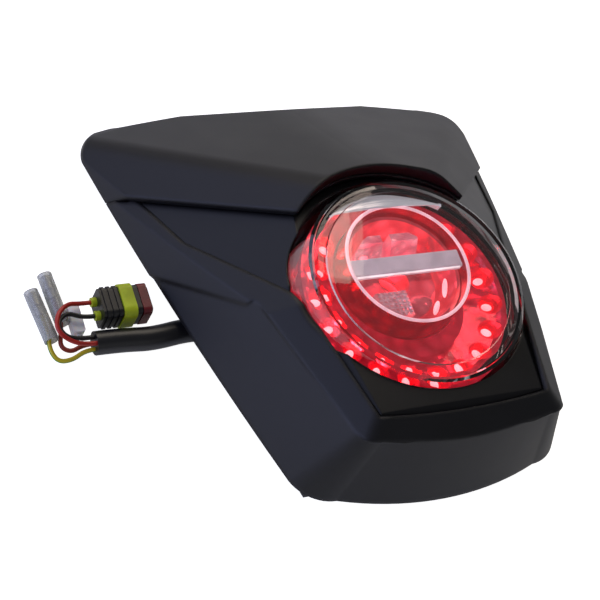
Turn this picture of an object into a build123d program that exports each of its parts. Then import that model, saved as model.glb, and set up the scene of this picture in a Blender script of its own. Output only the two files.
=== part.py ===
"""Tail light for a scooter: hooded shell, round lens, LED lamp unit and its cable.

Millimetres, +Z up. The lamp lies on its back: +Z is the lens axis, +Y points to the
hood (the top of the lamp when it is mounted) and z = 0 is the face of its four mounting bosses.
The origin is under the middle of the shell.
"""

import os
from math import asin, cos, degrees, pi, radians, sin, tan

from build123d import *

os.makedirs("parts", exist_ok=True)

# --- shell -------------------------------------------------------------------------------
shell_half_length = 98.8
shell_half_width = 92.6
bottom_half_width = 60.0
frame_wall = 3.0
hood_wall = 2.0
hood_lip = 2.0
hood_crown = 18.0
hood_ridge = 110.0
foot_ridge = 9.0
shell_gap = 0.35
side_step = 0.8
hood_rise = 2.8
panel_wall = 2.2
panel_recess = 2.6
ear_recess = 0.6
cove_width = 2.8
rim_height = 12.05
rim_tilt = 0.115
crease_height = 42.25
crease_tilt = 0.16
upper_section_rise = 30.0
seam_tip_x = 36.8
seam_slope = 0.814
arch_radius = 51.4
frame_flange = 5.0

# --- lens and lamp unit --------------------------------------------------------------------
lens_y = -22.7
lens_rim_radius = 44.2
lens_rim_height = 61.0
lens_front_radius = 42.6
lens_front_height = 62.2
lens_crown = 1.1
lens_step_radius = 37.5
lens_step = 0.5
lens_skirt_radius = 49.2
lens_skirt_height = 49.0
lens_wall = 2.2
lens_flange_radius = 51.5
lens_flange_thickness = 2.2
gasket_thickness = 1.0
housing_flange_top = 42.4
housing_flange_thickness = 2.5
housing_radius = 47.8
housing_wall = 2.2
plate_thickness = 3.0
plate_top = 15.0
board_thickness = 1.6
board_radius = 44.0
board_height = 26.0
spreader_radius = 40.0
spreader_thickness = 3.0
reflector_radius = 42.0
reflector_rim_height = 50.0
projector_y = -14.6
projector_radius = 26.0
projector_ring_width = 1.4
projector_height = 57.6
projector_gap = 0.6
optic_radius = 19.0
bar_y = -14.0
bar_width = 7.4
bar_depth = 3.0
eyebrow_y = 10.4
eyebrow_radius = 41.4
eyebrow_height = 53.4
eyebrow_thickness = 1.6
ring_led_count = 15
ring_led_radius = 36.0
ring_led_size = 3.2
ring_led_height = 1.0
cup_radius = 4.2

# --- mounting --------------------------------------------------------------------------------
mount_spacing_x = 88.0
mount_spacing_y = 100.0
mount_centre_y = -8.0
mount_boss_radius = 7.0
insert_radius = 4.3
insert_hole_radius = 2.5
screw_radius = 1.9
screw_head_radius = 3.7
screw_head_height = 2.6
screw_clearance = 0.05
boss_radius = 4.6

# --- cable -------------------------------------------------------------------------------------
sleeve_diameter = 9.4
wire_diameter = 1.8
cable_y = -7.0
cable_height = 6.45
grommet_radius = 5.4
cover_wall = 2.0
cover_half_width = 38.0
cover_front_y = -52.0
cover_back_y = 10.0
cover_bottom = 0.6
terminal_radius = 2.0
terminal_sleeve_radius = 2.9
terminal_sleeve_length = 22.0
terminal_sleeve_wall = 0.7
terminal_depth = 11.3


def sloped_plane(height, fall_x=0.0, fall_y=0.0):
    """The plane z = height - fall_x * x - fall_y * y, facing up."""
    return Plane(origin=(0, 0, height), x_dir=(1, 0, -fall_x), z_dir=(fall_x, fall_y, 1))


def mirrored(plane):
    """The same plane on the other side of the lamp."""
    normal = plane.z_dir
    origin = (-plane.origin.X, plane.origin.Y, plane.origin.Z)
    return Plane(origin=origin, x_dir=(1, 0, normal.X / normal.Z), z_dir=(-normal.X, normal.Y, normal.Z))


rim_plane = sloped_plane(rim_height, fall_y=rim_tilt)
crease_plane = sloped_plane(crease_height, fall_y=crease_tilt)
upper_plane = crease_plane.offset(upper_section_rise)
front_face = sloped_plane(56.43, fall_y=0.0709)
foot_face = sloped_plane(101.2, fall_y=-0.532)
side_face = sloped_plane(90.6, fall_x=0.737, fall_y=-0.0385)
wing_face = sloped_plane(82.5, fall_x=0.70, fall_y=0.22)
hood_face = sloped_plane(84.0, fall_x=0.16, fall_y=0.75)
hood_tail_face = sloped_plane(shell_half_length * 1.5 + 0.7, fall_y=1.5)
hood_side_face = wing_face.offset(hood_rise)


def outline(growth, top, top_shoulder, corner, side_top, side_middle, side_foot, foot_corner, foot, foot_middle):
    """Closed shell outline, as arcs through the points of its right half, each moved outward by the growth."""

    def out(point, direction):
        return (point[0] + growth * direction[0], point[1] + growth * direction[1])

    def left(point):
        return (-point[0], point[1])

    top = out(top, (0, 1))
    top_shoulder = out(top_shoulder, (0.12, 1))
    corner = out(corner, (0.72, 0.72))
    side_top = out(side_top, (1, 0.05))
    side_middle = out(side_middle, (1, -0.2))
    side_foot = out(side_foot, (1, -0.3))
    foot_corner = out(foot_corner, (0.72, -0.72))
    foot = out(foot, (0.2, -1))
    foot_middle = out(foot_middle, (0, -1))
    ThreePointArc(left(top_shoulder), top, top_shoulder)
    ThreePointArc(top_shoulder, corner, side_top)
    ThreePointArc(side_top, side_middle, side_foot)
    ThreePointArc(side_foot, foot_corner, foot)
    ThreePointArc(foot, foot_middle, left(foot))
    ThreePointArc(left(foot), left(foot_corner), left(side_foot))
    ThreePointArc(left(side_foot), left(side_middle), left(side_top))
    ThreePointArc(left(side_top), left(corner), left(top_shoulder))


def rim_outline(growth):
    """Outline of the shell at its back rim."""
    width = shell_half_width
    length = shell_half_length
    outline(
        growth,
        (0, length), (0.78 * width, length - 4), (0.945 * width, length - 9.3), (width, length - 21),
        (0.853 * width, 2), (bottom_half_width, -length + 19), (bottom_half_width - 5.5, -length + 11.2),
        (bottom_half_width - 16, -length + 7.2), (0, -length),
    )


def upper_outline(growth):
    """Outline of the drafted walls where they would reach the upper plane."""
    width = shell_half_width
    length = shell_half_length
    outline(
        growth,
        (0, length - 15.6), (0.6 * width, length - 17.2), (0.694 * width, length - 20.3),
        (width - 25.1, length - 29.4), (0.52 * width, -10), (bottom_half_width - 26.9, -length + 18.4),
        (bottom_half_width - 27.6, -length + 16.1), (bottom_half_width - 29.8, -length + 15.7),
        (0, -length + 15.6),
    )


def shell_block(growth, faces):
    """The shell's outer form, its outline grown or shrunk, under faces that are each set back by an inset."""
    with BuildPart() as block:
        with BuildSketch(rim_plane):
            with BuildLine():
                rim_outline(growth)
            make_face()
        with BuildSketch(upper_plane):
            with BuildLine():
                upper_outline(growth)
            make_face()
        loft(ruled=True)
        for face, inset in faces:
            split(bisect_by=face.offset(-inset), keep=Keep.BOTTOM)
    return block.part


def body_faces(front_inset, wing_inset):
    """Front faces of the body, each with how far it is set back."""
    return [
        (front_face, front_inset), (foot_face, front_inset),
        (side_face, front_inset), (mirrored(side_face), front_inset),
        (wing_face, wing_inset), (mirrored(wing_face), wing_inset),
    ]


def hood_faces(inset):
    """Faces of the hood, set back."""
    return [
        (hood_face, inset), (mirrored(hood_face), inset), (hood_tail_face, inset),
        (hood_side_face, inset), (mirrored(hood_side_face), inset),
    ]


def edges_between(part, first, second):
    """Edges that lie on both planes."""
    def on_both(edge):
        middle = edge @ 0.5
        return all(abs(plane.to_local_coords(middle).Z) < 0.01 for plane in (first, second))
    return part.edges().filter_by(on_both)


seam_tip_y = lens_y + (arch_radius ** 2 - seam_tip_x ** 2) ** 0.5


def seam_y(x):
    """Where the hood's front edge crosses a line along the lamp."""
    return seam_tip_y + seam_slope * (abs(x) - seam_tip_x)


def hood_zone(back=0.0, reach=120.0):
    """Plan of the hood, with its front edge moved back under it."""
    tip_x = seam_tip_x
    with BuildSketch() as zone:
        with BuildLine():
            ThreePointArc((-tip_x, seam_tip_y), (0, lens_y + arch_radius), (tip_x, seam_tip_y))
            Polyline(
                (tip_x, seam_tip_y), (reach, seam_y(reach)), (reach, reach + 20), (-reach, reach + 20),
                (-reach, seam_y(reach)), (-tip_x, seam_tip_y),
            )
        make_face()
        if back:
            offset(amount=-back, kind=Kind.INTERSECTION)
    return zone.sketch


ear_corner = (71.7, 22.1)
ear_top = (80.8, 54.4)
panel_waist = (51.5, -12.4)
panel_shoulder = (48.3, -18.4)
panel_foot = (35.3, -74.3)
panel_foot_bulge = 2.2
panel_arch_radius = 51.0


def panel_zone(growth=0.0):
    """Plan of the inset panel."""
    tip_x = seam_tip_x - 1.5
    tip_y = lens_y + (panel_arch_radius ** 2 - tip_x ** 2) ** 0.5
    with BuildSketch() as zone:
        with BuildLine():
            right = [panel_foot, panel_shoulder, panel_waist, ear_corner, ear_top, (tip_x, tip_y)]
            Polyline(*right)
            ThreePointArc((tip_x, tip_y), (0, lens_y + panel_arch_radius), (-tip_x, tip_y))
            Polyline(*[(-x, y) for x, y in reversed(right)])
            ThreePointArc(
                (-panel_foot[0], panel_foot[1]), (0, panel_foot[1] - panel_foot_bulge), panel_foot
            )
        make_face()
        if growth:
            offset(amount=growth, kind=Kind.INTERSECTION)
    return zone.sketch


def prism(sketch, bottom=-20.0, top=110.0):
    """A plan drawn through a range of heights."""
    with BuildPart() as solid:
        with BuildSketch(Plane.XY.offset(bottom)):
            add(sketch)
        extrude(amount=top - bottom)
    return solid.part


def disc(radius, bottom, top, x=0.0, y=0.0):
    """An upright cylinder."""
    with BuildPart() as solid:
        with BuildSketch(Plane.XY.offset(bottom)):
            with Locations((x, y)):
                Circle(radius)
        extrude(amount=top - bottom)
    return solid.part


def turned(*profile, x=0.0, y=lens_y):
    """A ring or bowl turned from (radius, height) corners about an upright axis."""
    with BuildPart() as solid:
        with BuildSketch(Plane(origin=(x, y, 0), x_dir=(1, 0, 0), z_dir=(0, -1, 0))):
            with BuildLine():
                Polyline(*profile, close=True)
            make_face()
        revolve(axis=Axis((x, y, 0), (0, 0, 1)))
    return solid.part


# --- hood ---------------------------------------------------------------------------------------
with BuildPart() as hood_outer:
    add(shell_block(0.0, hood_faces(0.0)))
    fillet(edges_between(hood_outer, hood_face, mirrored(hood_face)), radius=hood_ridge)
    crown_edges = edges_between(hood_outer, hood_face, hood_side_face)
    crown_edges += edges_between(hood_outer, mirrored(hood_face), mirrored(hood_side_face))
    fillet(crown_edges, radius=hood_crown)

frame_screw_points = [(46, -78), (70, 6)]
hood_screw_points = [(44, 56)]
ear_screw_points = [(54, 8)]
foot_screw_points = [(35, -67)]
housing_screw_points = [(20, 4), (20, -46)]
cover_screw_points = [(33, 5), (33, -47)]


def both_sides(points):
    """Points with their mirror images."""
    return [(side * x, y) for x, y in points for side in (1, -1)]


with BuildPart() as hood:
    add(hood_outer.part)
    add(shell_block(-hood_wall, hood_faces(hood_wall)), mode=Mode.SUBTRACT)
    add(prism(hood_zone()), mode=Mode.INTERSECT)
with BuildPart() as lip:
    add(hood_outer.part)
    add(prism(hood_zone()), mode=Mode.INTERSECT)
    add(prism(hood_zone(back=hood_lip)), mode=Mode.SUBTRACT)
    add(shell_block(4.0, body_faces(-shell_gap, -shell_gap)), mode=Mode.SUBTRACT)
with BuildPart() as hood_posts:
    for x, y in both_sides(hood_screw_points):
        add(disc(boss_radius, plate_top, 60, x, y))
    add(hood_outer.part, mode=Mode.INTERSECT)
with BuildPart() as visor_hood:
    add(hood.part)
    add(lip.part)
    add(hood_posts.part)
    for x, y in both_sides(hood_screw_points):
        add(disc(screw_radius + screw_clearance, plate_top - 1, plate_top + 9, x, y), mode=Mode.SUBTRACT)
visor_hood.part.label = "visor_hood"
export_step(visor_hood.part, "parts/visor_hood.step")

# --- frame --------------------------------------------------------------------------------------
step_line = [(62.2, -15.0), (79.0, 13.0), (115.0, 73.0), (130.0, 73.0), (130.0, -130.0)]

with BuildPart() as side_recess:
    with BuildSketch(Plane.XY.offset(-10)):
        with BuildLine():
            Polyline(*step_line, *[(-x, y) for x, y in reversed(step_line)], close=True)
        make_face()
    extrude(amount=80)
    split(bisect_by=crease_plane, keep=Keep.BOTTOM)
    add(shell_block(-side_step, body_faces(0, 0)), mode=Mode.SUBTRACT)


def foot_patch(growth=0.0):
    """Plan of the flat lower part of the inset panel."""
    foot_x, foot_y = panel_foot
    shoulder_x, shoulder_y = panel_shoulder
    with BuildSketch() as patch:
        with BuildLine():
            Polyline((-foot_x - growth, foot_y - growth), (-shoulder_x - growth, shoulder_y),
                     (shoulder_x + growth, shoulder_y), (foot_x + growth, foot_y - growth))
            ThreePointArc((foot_x + growth, foot_y - growth), (0, foot_y - growth - panel_foot_bulge),
                          (-foot_x - growth, foot_y - growth))
        make_face()
    return patch.sketch


with BuildPart() as panel_cove:
    with BuildSketch(front_face.offset(-panel_recess - 0.3)):
        add(foot_patch(shell_gap))
    with BuildSketch(front_face.offset(0.6)):
        add(foot_patch(cove_width))
    loft(ruled=True)

def lens_cone(growth):
    """The lens skirt as a solid plug, grown by a clearance."""
    return turned(
        (0, lens_rim_height + 5), (lens_rim_radius + growth - 2, lens_rim_height + 5),
        (lens_rim_radius + growth, lens_rim_height), (lens_skirt_radius + growth, lens_skirt_height),
        (lens_skirt_radius + growth, 30), (0, 30),
    )


with BuildPart() as outer_frame:
    add(shell_block(0.0, body_faces(0, 0)))
    foot_edges = edges_between(outer_frame, foot_face, side_face)
    foot_edges += edges_between(outer_frame, foot_face, mirrored(side_face))
    fillet(foot_edges, radius=foot_ridge)
    add(side_recess.part, mode=Mode.SUBTRACT)
    add(shell_block(-frame_wall, body_faces(frame_wall, frame_wall)), mode=Mode.SUBTRACT)
    add(prism(panel_zone(shell_gap)), mode=Mode.SUBTRACT)
    add(panel_cove.part, mode=Mode.SUBTRACT)
    add(prism(hood_zone(back=frame_flange)), mode=Mode.SUBTRACT)
    add(lens_cone(shell_gap), mode=Mode.SUBTRACT)

with BuildPart() as hood_room:
    add(shell_block(3.0, body_faces(-3.0, -3.0)))
    add(shell_block(-hood_wall - shell_gap, body_faces(0, 0)), mode=Mode.SUBTRACT)
    add(prism(hood_zone(back=-shell_gap)), mode=Mode.INTERSECT)

with BuildPart() as frame_posts:
    for x, y in both_sides(frame_screw_points):
        add(disc(boss_radius, plate_top, 70, x, y))
    add(shell_block(-1.0, body_faces(1.0, 1.0)), mode=Mode.INTERSECT)

with BuildPart() as frame:
    add(outer_frame.part)
    add(hood_room.part, mode=Mode.SUBTRACT)
    add(frame_posts.part)
    for x, y in both_sides(frame_screw_points):
        add(disc(screw_radius + screw_clearance, plate_top - 1, plate_top + 9, x, y), mode=Mode.SUBTRACT)
frame.part.label = "outer_frame"
export_step(frame.part, "parts/outer_frame.step")


def pilot_holes(points, top):
    """Screw holes up from under the carrier plate."""
    with BuildPart() as holes:
        for x, y in both_sides(points):
            add(disc(screw_radius + screw_clearance, plate_top - plate_thickness - 1, top, x, y))
    return holes.part


# --- inset panels -------------------------------------------------------------------------------
with BuildPart() as inset_panels:
    add(shell_block(0.0, body_faces(panel_recess, ear_recess)))
    add(shell_block(0.5, body_faces(panel_recess + panel_wall, ear_recess + panel_wall)), mode=Mode.SUBTRACT)
    add(prism(panel_zone()), mode=Mode.INTERSECT)


def panel_piece(screw_points, keep):
    """One of the two inset panels, on its screw posts, fitted round the lens."""
    with BuildPart() as posts:
        for x, y in both_sides(screw_points):
            add(disc(boss_radius, plate_top, 70, x, y))
        add(shell_block(0.0, body_faces(panel_recess + 1, ear_recess + 1)), mode=Mode.INTERSECT)
    with BuildPart() as piece:
        add(inset_panels.part)
        split(bisect_by=Plane.XZ.offset(-panel_shoulder[1]), keep=keep)
        add(posts.part)
        add(lens_cone(shell_gap), mode=Mode.SUBTRACT)
        add(pilot_holes(screw_points, plate_top + 9), mode=Mode.SUBTRACT)
    return piece.part


with BuildPart() as ear_panel:
    add(panel_piece(ear_screw_points, Keep.BOTTOM))
ear_panel.part.label = "ear_panel"
export_step(ear_panel.part, "parts/ear_panel.step")

with BuildPart() as foot_panel:
    add(panel_piece(foot_screw_points, Keep.TOP))
foot_panel.part.label = "foot_panel"
export_step(foot_panel.part, "parts/foot_panel.step")

# --- lens ---------------------------------------------------------------------------------------
def crown_arc(reach, top, drop):
    """Shallow arc from over the lamp's axis out to a radius, falling by the drop."""
    bend = (reach ** 2 + drop ** 2) / (2 * drop)
    half_angle = degrees(asin(reach / bend))
    CenterArc((0, top - bend), bend, 90 - half_angle, half_angle)


lens_flange_top = housing_flange_top + gasket_thickness + lens_flange_thickness
dome_top = lens_front_height + lens_crown + lens_step
with BuildPart() as lens_cover:
    with BuildSketch(Plane(origin=(0, lens_y, 0), x_dir=(1, 0, 0), z_dir=(0, -1, 0))):
        with BuildLine():
            crown_arc(lens_step_radius, dome_top, lens_crown)
            Polyline(
                (lens_step_radius, dome_top - lens_crown),
                (lens_step_radius + 0.4, dome_top - lens_crown - lens_step),
                (lens_front_radius, lens_front_height), (lens_rim_radius, lens_rim_height),
                (lens_skirt_radius, lens_skirt_height), (lens_skirt_radius, lens_flange_top),
                (lens_flange_radius, lens_flange_top), (lens_flange_radius, lens_flange_top - lens_flange_thickness),
                (lens_skirt_radius - lens_wall, lens_flange_top - lens_flange_thickness),
                (lens_skirt_radius - lens_wall, lens_skirt_height - 0.5),
                (lens_rim_radius - lens_wall, lens_rim_height - 1.4),
                (lens_front_radius - lens_wall, lens_front_height - lens_wall),
            )
            crown_arc(lens_front_radius - lens_wall, dome_top - lens_wall, lens_crown + lens_step)
            Line((0, dome_top - lens_wall), (0, dome_top))
        make_face()
    revolve(axis=Axis((0, lens_y, 0), (0, 0, 1)))
lens_cover.part.label = "lens_cover"
export_step(lens_cover.part, "parts/lens_cover.step")

with BuildPart() as lens_gasket:
    add(turned(
        (lens_flange_radius - 3.4, housing_flange_top), (lens_flange_radius - 0.4, housing_flange_top),
        (lens_flange_radius - 0.4, housing_flange_top + gasket_thickness),
        (lens_flange_radius - 3.4, housing_flange_top + gasket_thickness),
    ))
lens_gasket.part.label = "lens_gasket"
export_step(lens_gasket.part, "parts/lens_gasket.step")

# --- lamp housing -------------------------------------------------------------------------------
housing_floor = plate_top + housing_wall
inner_radius = housing_radius - housing_wall
post_top = housing_floor + 5.8
with BuildPart() as lamp_housing:
    add(turned(
        (0, plate_top), (housing_radius, plate_top), (housing_radius, housing_flange_top - housing_flange_thickness),
        (lens_flange_radius, housing_flange_top - housing_flange_thickness),
        (lens_flange_radius, housing_flange_top), (inner_radius, housing_flange_top), (inner_radius, board_height),
        (inner_radius - 2.2, board_height), (inner_radius - 2.2, housing_floor), (0, housing_floor),
    ))
    for x, y in both_sides(housing_screw_points):
        add(disc(boss_radius, housing_floor - 0.5, post_top, x, y))
    add(pilot_holes(housing_screw_points, post_top - 1), mode=Mode.SUBTRACT)
    with BuildSketch(Plane.XZ.offset(-lens_y - inner_radius + 1)):
        with Locations((0, 31)):
            Circle(2.0)
    extrude(amount=-(housing_wall + 2), mode=Mode.SUBTRACT)
lamp_housing.part.label = "lamp_housing"
export_step(lamp_housing.part, "parts/lamp_housing.step")

with BuildPart() as breather_cap:
    with BuildSketch(Plane.XZ.offset(-lens_y - housing_radius)):
        with Locations((0, 31)):
            Circle(1.9)
    extrude(amount=housing_wall)
    with BuildSketch(Plane.XZ.offset(-lens_y - housing_radius)):
        with Locations((0, 31)):
            Circle(4.0)
    extrude(amount=-3.0)
    fillet(breather_cap.faces().sort_by(Axis.Y)[-1].edges(), radius=0.8)
breather_cap.part.label = "breather_cap"
export_step(breather_cap.part, "parts/breather_cap.step")

with BuildPart() as heat_spreader:
    add(turned(
        (0, housing_floor), (spreader_radius, housing_floor), (spreader_radius, housing_floor + spreader_thickness),
        (0, housing_floor + spreader_thickness),
    ))
    add(disc(10, housing_floor + spreader_thickness - 0.5, board_height, 0, projector_y))
    for x, y in both_sides(housing_screw_points):
        add(disc(boss_radius + 0.4, housing_floor - 1, board_height - 1, x, y), mode=Mode.SUBTRACT)
heat_spreader.part.label = "heat_spreader"
export_step(heat_spreader.part, "parts/heat_spreader.step")

board_top = board_height + board_thickness
with BuildPart() as led_board:
    add(disc(board_radius, board_height, board_top, 0, lens_y))
    add(disc(13.4, board_height - 1, board_top + 1, 0, projector_y), mode=Mode.SUBTRACT)
led_board.part.label = "led_board"
export_step(led_board.part, "parts/led_board.step")

first_led_angle = -222.0
led_span = 264.0
led_angles = [first_led_angle + index * led_span / (ring_led_count - 1) for index in range(ring_led_count)]
led_places = [
    (ring_led_radius * cos(radians(angle)), lens_y + ring_led_radius * sin(radians(angle))) for angle in led_angles
]
with BuildPart() as ring_leds:
    with BuildSketch(Plane.XY.offset(board_top)):
        with Locations(*led_places):
            Rectangle(ring_led_size, ring_led_size)
    extrude(amount=ring_led_height)
    with BuildSketch(Plane.XY.offset(board_top + ring_led_height)):
        with Locations(*led_places):
            Circle(0.42 * ring_led_size)
    extrude(amount=0.7, taper=20)
ring_leds.part.label = "ring_leds"
export_step(ring_leds.part, "parts/ring_leds.step")

with BuildPart() as board_resistors:
    with BuildSketch(Plane(origin=(0, lens_y, board_height - 1.1))):
        with PolarLocations(30, 8):
            Rectangle(1.6, 3.2)
    extrude(amount=1.1)
board_resistors.part.label = "board_resistors"
export_step(board_resistors.part, "parts/board_resistors.step")

cup_top = reflector_rim_height - 3.6
with BuildPart() as cup_outer:
    for x, y in led_places:
        with BuildSketch(Plane.XY.offset(board_top + 0.3)):
            with Locations((x, y)):
                Circle(cup_radius - 0.9)
        with BuildSketch(Plane.XY.offset(cup_top)):
            with Locations((x, y)):
                Circle(cup_radius + 0.9)
        loft(ruled=True)
with BuildPart() as cup_inner:
    for x, y in led_places:
        with BuildSketch(Plane.XY.offset(board_top + 0.2)):
            with Locations((x, y)):
                Circle(cup_radius - 1.7)
        with BuildSketch(Plane.XY.offset(reflector_rim_height + 2)):
            with Locations((x, y)):
                Circle(cup_radius + 0.6)
        loft(ruled=True)
with BuildPart() as ring_reflector:
    add(turned(
        (0, cup_top - 3.6), (26, cup_top - 3.6), (38.5, cup_top + 0.4), (reflector_radius, cup_top + 0.4),
        (reflector_radius, reflector_rim_height), (39.6, reflector_rim_height), (38.2, cup_top + 2.2),
        (26, cup_top - 1.6), (0, cup_top - 1.6),
    ))
    add(cup_outer.part)
    add(disc(projector_radius + projector_gap, 20, 70, 0, projector_y), mode=Mode.SUBTRACT)
    add(cup_inner.part, mode=Mode.SUBTRACT)
ring_reflector.part.label = "ring_reflector"
export_step(ring_reflector.part, "parts/ring_reflector.step")


def eyebrow_plan(inner_radius_of_plan):
    """The part of a disc above the eyebrow's lower edge."""
    with BuildSketch() as plan:
        with Locations((0, lens_y)):
            Circle(eyebrow_radius)
            if inner_radius_of_plan:
                Circle(inner_radius_of_plan, mode=Mode.SUBTRACT)
        with Locations((0, eyebrow_y - 60)):
            Rectangle(200, 120, mode=Mode.SUBTRACT)
    return plan.sketch


with BuildPart() as chrome_eyebrow:
    with BuildSketch(Plane.XY.offset(eyebrow_height)):
        add(eyebrow_plan(0))
    extrude(amount=eyebrow_thickness)
    with BuildSketch(Plane.XY.offset(reflector_rim_height)):
        add(eyebrow_plan(eyebrow_radius - 1.6))
    extrude(amount=eyebrow_height - reflector_rim_height)
    add(disc(projector_radius + 0.3, 40, 70, 0, projector_y), mode=Mode.SUBTRACT)
chrome_eyebrow.part.label = "chrome_eyebrow"
export_step(chrome_eyebrow.part, "parts/chrome_eyebrow.step")

# --- projector ----------------------------------------------------------------------------------
with BuildPart() as projector_ring:
    add(turned(
        (projector_radius - projector_ring_width, board_top), (projector_radius, board_top),
        (projector_radius, projector_height), (projector_radius - projector_ring_width, projector_height),
        y=projector_y,
    ))
projector_ring.part.label = "projector_ring"
export_step(projector_ring.part, "parts/projector_ring.step")

bowl_radius = projector_radius - projector_ring_width - 0.3
with BuildPart() as projector_bowl:
    with BuildSketch(Plane(origin=(0, projector_y, 0), x_dir=(1, 0, 0), z_dir=(0, -1, 0))):
        with BuildLine():
            ThreePointArc((9, board_top + 3), (19.5, 39), (bowl_radius, 52))
            Line((bowl_radius, 52), (bowl_radius - 1.4, 52))
            ThreePointArc((bowl_radius - 1.4, 52), (18.0, 39.6), (9, board_top + 4.6))
            Line((9, board_top + 4.6), (9, board_top + 3))
        make_face()
    revolve(axis=Axis((0, projector_y, 0), (0, 0, 1)))
    add(turned((7.6, board_top), (9.2, board_top), (9.2, board_top + 4.4), (7.6, board_top + 4.4), y=projector_y))
projector_bowl.part.label = "projector_bowl"
export_step(projector_bowl.part, "parts/projector_bowl.step")

bar_top = projector_height - 1.0
bar_half = (bowl_radius ** 2 - (abs(bar_y - projector_y) + bar_width / 2) ** 2) ** 0.5 - 0.1
with BuildPart() as light_bar:
    with BuildSketch(Plane.XY.offset(bar_top - bar_depth)):
        with Locations((0, bar_y)):
            Rectangle(2 * bar_half, bar_width)
    extrude(amount=bar_depth)
    fillet(light_bar.edges().filter_by(Axis.X).group_by(Axis.Z)[-1], radius=0.8)
light_bar.part.label = "light_bar"
export_step(light_bar.part, "parts/light_bar.step")

with BuildPart() as reflector_facets:
    for x in (-9.5, 6.5):
        with BuildSketch(Plane.XY.offset(45.0)):
            with Locations((x, projector_y + 12.4)):
                Rectangle(12.0, 8.0)
        with BuildSketch(Plane.XY.offset(51.5)):
            with Locations((x, projector_y + 15.0)):
                Rectangle(12.0, 3.2)
        loft(ruled=True)
    with BuildSketch(Plane.XY.offset(43.4)):
        with Locations((-1.5, projector_y + 12.6)):
            Rectangle(30.0, 9.0)
    extrude(amount=1.6)
    add(disc(optic_radius, 30, 60, 0, projector_y), mode=Mode.INTERSECT)
reflector_facets.part.label = "reflector_facets"
export_step(reflector_facets.part, "parts/reflector_facets.step")

with BuildPart() as optic_block:
    with BuildSketch(Plane.XY.offset(43.4)):
        with Locations((-6.5, projector_y - 12.2)):
            Rectangle(17.0, 12.6)
    extrude(amount=5.6)
    add(disc(optic_radius, 30, 60, 0, projector_y), mode=Mode.INTERSECT)
optic_block.part.label = "optic_block"
export_step(optic_block.part, "parts/optic_block.step")

with BuildPart() as optic_frame:
    with BuildSketch(Plane.XY.offset(41.8)):
        with Locations((0, projector_y)):
            Circle(17.6)
            Circle(6.5, mode=Mode.SUBTRACT)
    extrude(amount=1.6)
optic_frame.part.label = "optic_frame"
export_step(optic_frame.part, "parts/optic_frame.step")

with BuildPart() as centre_led_board:
    add(disc(7.4, board_height, board_height + 1.2, 0, projector_y))
centre_led_board.part.label = "centre_led_board"
export_step(centre_led_board.part, "parts/centre_led_board.step")

with BuildPart() as centre_leds:
    with BuildSketch(Plane.XY.offset(board_height + 1.2)):
        with Locations((-2.6, projector_y), (2.6, projector_y)):
            Rectangle(3.4, 3.4)
    extrude(amount=1.4)
centre_leds.part.label = "centre_leds"
export_step(centre_leds.part, "parts/centre_leds.step")

# --- carrier plate and mounting -------------------------------------------------------------------
plate_bottom = plate_top - plate_thickness
plate_outline = [(51, -83), (62.5, -38), (75, 8), (75, 24), (60, 50), (50, 63)]
mount_points = [
    (side_x * mount_spacing_x / 2, mount_centre_y + side_y * mount_spacing_y / 2)
    for side_x in (-1, 1)
    for side_y in (-1, 1)
]
with BuildPart() as carrier_plate:
    with BuildSketch(Plane.XY.offset(plate_bottom)):
        with BuildLine():
            Polyline(*plate_outline, *[(-x, y) for x, y in reversed(plate_outline)], close=True)
        make_face()
        with Locations((0, -21)):
            RectangleRounded(52, 40, 4, mode=Mode.SUBTRACT)
    extrude(amount=plate_thickness)
    for x, y in mount_points:
        add(disc(mount_boss_radius, 0, plate_top, x, y))
    for x, y in mount_points:
        add(disc(insert_radius + screw_clearance, -1, plate_bottom, x, y), mode=Mode.SUBTRACT)
        add(disc(insert_hole_radius + 0.5, plate_bottom - 1, plate_top + 1, x, y), mode=Mode.SUBTRACT)
    screw_points = frame_screw_points + hood_screw_points + ear_screw_points + foot_screw_points
    add(pilot_holes(screw_points + housing_screw_points + cover_screw_points, plate_top + 1), mode=Mode.SUBTRACT)
carrier_plate.part.label = "carrier_plate"
export_step(carrier_plate.part, "parts/carrier_plate.step")

with BuildPart() as threaded_inserts:
    for x, y in mount_points:
        add(disc(insert_radius, 0, plate_bottom, x, y))
        add(disc(insert_hole_radius, -1, plate_top, x, y), mode=Mode.SUBTRACT)
threaded_inserts.part.label = "threaded_inserts"
export_step(threaded_inserts.part, "parts/threaded_inserts.step")


def screws(points, head_bottom, shank_top):
    """Pan-head screws driven up from underneath, with a cross recess."""
    with BuildPart() as group:
        for x, y in points:
            add(disc(screw_head_radius, head_bottom, head_bottom + screw_head_height, x, y))
            add(disc(screw_radius, head_bottom + screw_head_height, shank_top, x, y))
            with BuildSketch(Plane.XY.offset(head_bottom)):
                with Locations((x, y)):
                    Rectangle(3.6, 0.8)
                    Rectangle(0.8, 3.6)
            extrude(amount=1.2, mode=Mode.SUBTRACT)
    return group.part


head_bottom = plate_bottom - screw_head_height
with BuildPart() as frame_screws:
    add(screws(both_sides(frame_screw_points), head_bottom, plate_top + 8))
frame_screws.part.label = "frame_screws"
export_step(frame_screws.part, "parts/frame_screws.step")
with BuildPart() as hood_screws:
    add(screws(both_sides(hood_screw_points), head_bottom, plate_top + 8))
hood_screws.part.label = "hood_screws"
export_step(hood_screws.part, "parts/hood_screws.step")
with BuildPart() as panel_screws:
    add(screws(both_sides(ear_screw_points + foot_screw_points), head_bottom, plate_top + 8))
panel_screws.part.label = "panel_screws"
export_step(panel_screws.part, "parts/panel_screws.step")
with BuildPart() as housing_screws:
    add(screws(both_sides(housing_screw_points), head_bottom, post_top - 2))
housing_screws.part.label = "housing_screws"
export_step(housing_screws.part, "parts/housing_screws.step")
with BuildPart() as cover_screws:
    add(screws(both_sides(cover_screw_points), cover_bottom + 0.2, plate_top - 0.5))
cover_screws.part.label = "cover_screws"
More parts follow.
